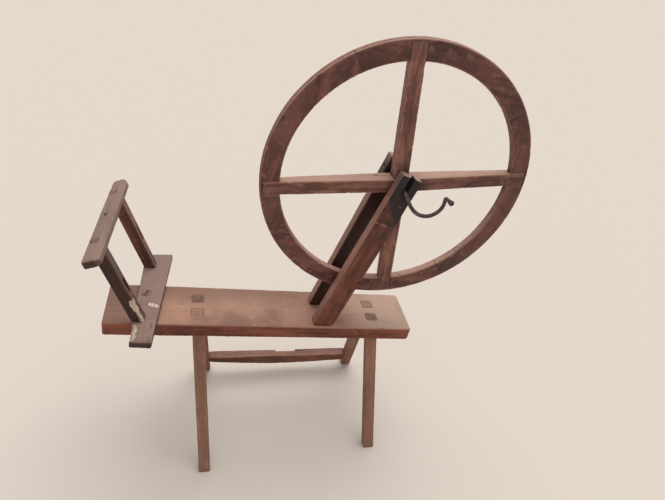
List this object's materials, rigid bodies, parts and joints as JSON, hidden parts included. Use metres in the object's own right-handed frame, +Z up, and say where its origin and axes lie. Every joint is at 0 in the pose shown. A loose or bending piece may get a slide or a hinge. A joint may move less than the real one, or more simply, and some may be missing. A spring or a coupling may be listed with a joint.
{
  "type": "spinning wheel",
  "caption": "Upright bench spinning wheel: sloping plank on splayed legs, grooved wooden wheel with an iron crank in open-topped posts, and a leaning spindle head on a pivot.",
  "frame": {"origin": "centre of the bounding box in plan, on the floor under the feet", "axes": "+X along the bench from the spindle head towards the wheel, +Y from the crank side to the back, +Z up"},
  "size_m": [1.1638, 0.4542, 1.2837],
  "materials": {
    "plank_wood": "dusty old mahogany-brown hardwood, worn dull",
    "leg_wood": "old reddish brown hardwood, rubbed",
    "stretcher_wood": "old reddish brown hardwood, dusty on top",
    "post_wood": "dark mahogany-brown hardwood with black axle grease near the top",
    "felloe_wood": "mottled reddish brown hardwood, worn",
    "spoke_wood": "dark reddish brown hardwood, greasy at the hub",
    "axle_iron": "forged iron, brown-black with rust and grease",
    "nail_iron": "cut iron nails, rubbed heads",
    "head_wood": "dusty greyish tan hardwood with chipped edges",
    "upright_wood": "dusty brown hardwood",
    "bar_wood": "dusty brown hardwood, darker beneath",
    "wedge_wood": "end-grain hardwood wedges, paler",
    "peg_wood": "end-grain hardwood peg"
  },
  "bodies": {
    "bench": {"bench_plank": "plank_wood", "leg_front_left": "leg_wood", "leg_front_right": "leg_wood", "leg_rear_left": "leg_wood", "leg_rear_right": "leg_wood", "leg_wedges": "wedge_wood", "rear_stretcher": "stretcher_wood", "post_front": "post_wood", "post_rear": "post_wood", "post_wedges": "wedge_wood", "post_nail": "nail_iron", "head_pivot_peg": "peg_wood", "head_peg_wedge": "wedge_wood"},
    "wheel": {"felloe_top": "felloe_wood", "felloe_left": "felloe_wood", "felloe_bottom": "felloe_wood", "felloe_right": "felloe_wood", "spoke_bar_level": "spoke_wood", "spoke_bar_upright": "spoke_wood", "spoke_nails": "nail_iron", "crank_axle": "axle_iron"},
    "head": {"head_board": "head_wood", "head_upright_front": "upright_wood", "head_upright_rear": "upright_wood", "head_top_bar": "bar_wood", "head_wedges": "wedge_wood", "head_nail": "nail_iron"}
  },
  "joints": [
    {"name": "wheel_spin", "type": "hinge", "parent": "bench", "child": "wheel", "pos_m": [0.21194, -0.01463, 0.91373], "axis": [0, 1, 0], "continuous": true},
    {"name": "head_swivel", "type": "hinge", "parent": "bench", "child": "head", "pos_m": [-0.47278, 0.02037, 0.51578], "axis": [0.1089, 0, 0.9941], "range_deg": [-12, 12]}
  ]
}
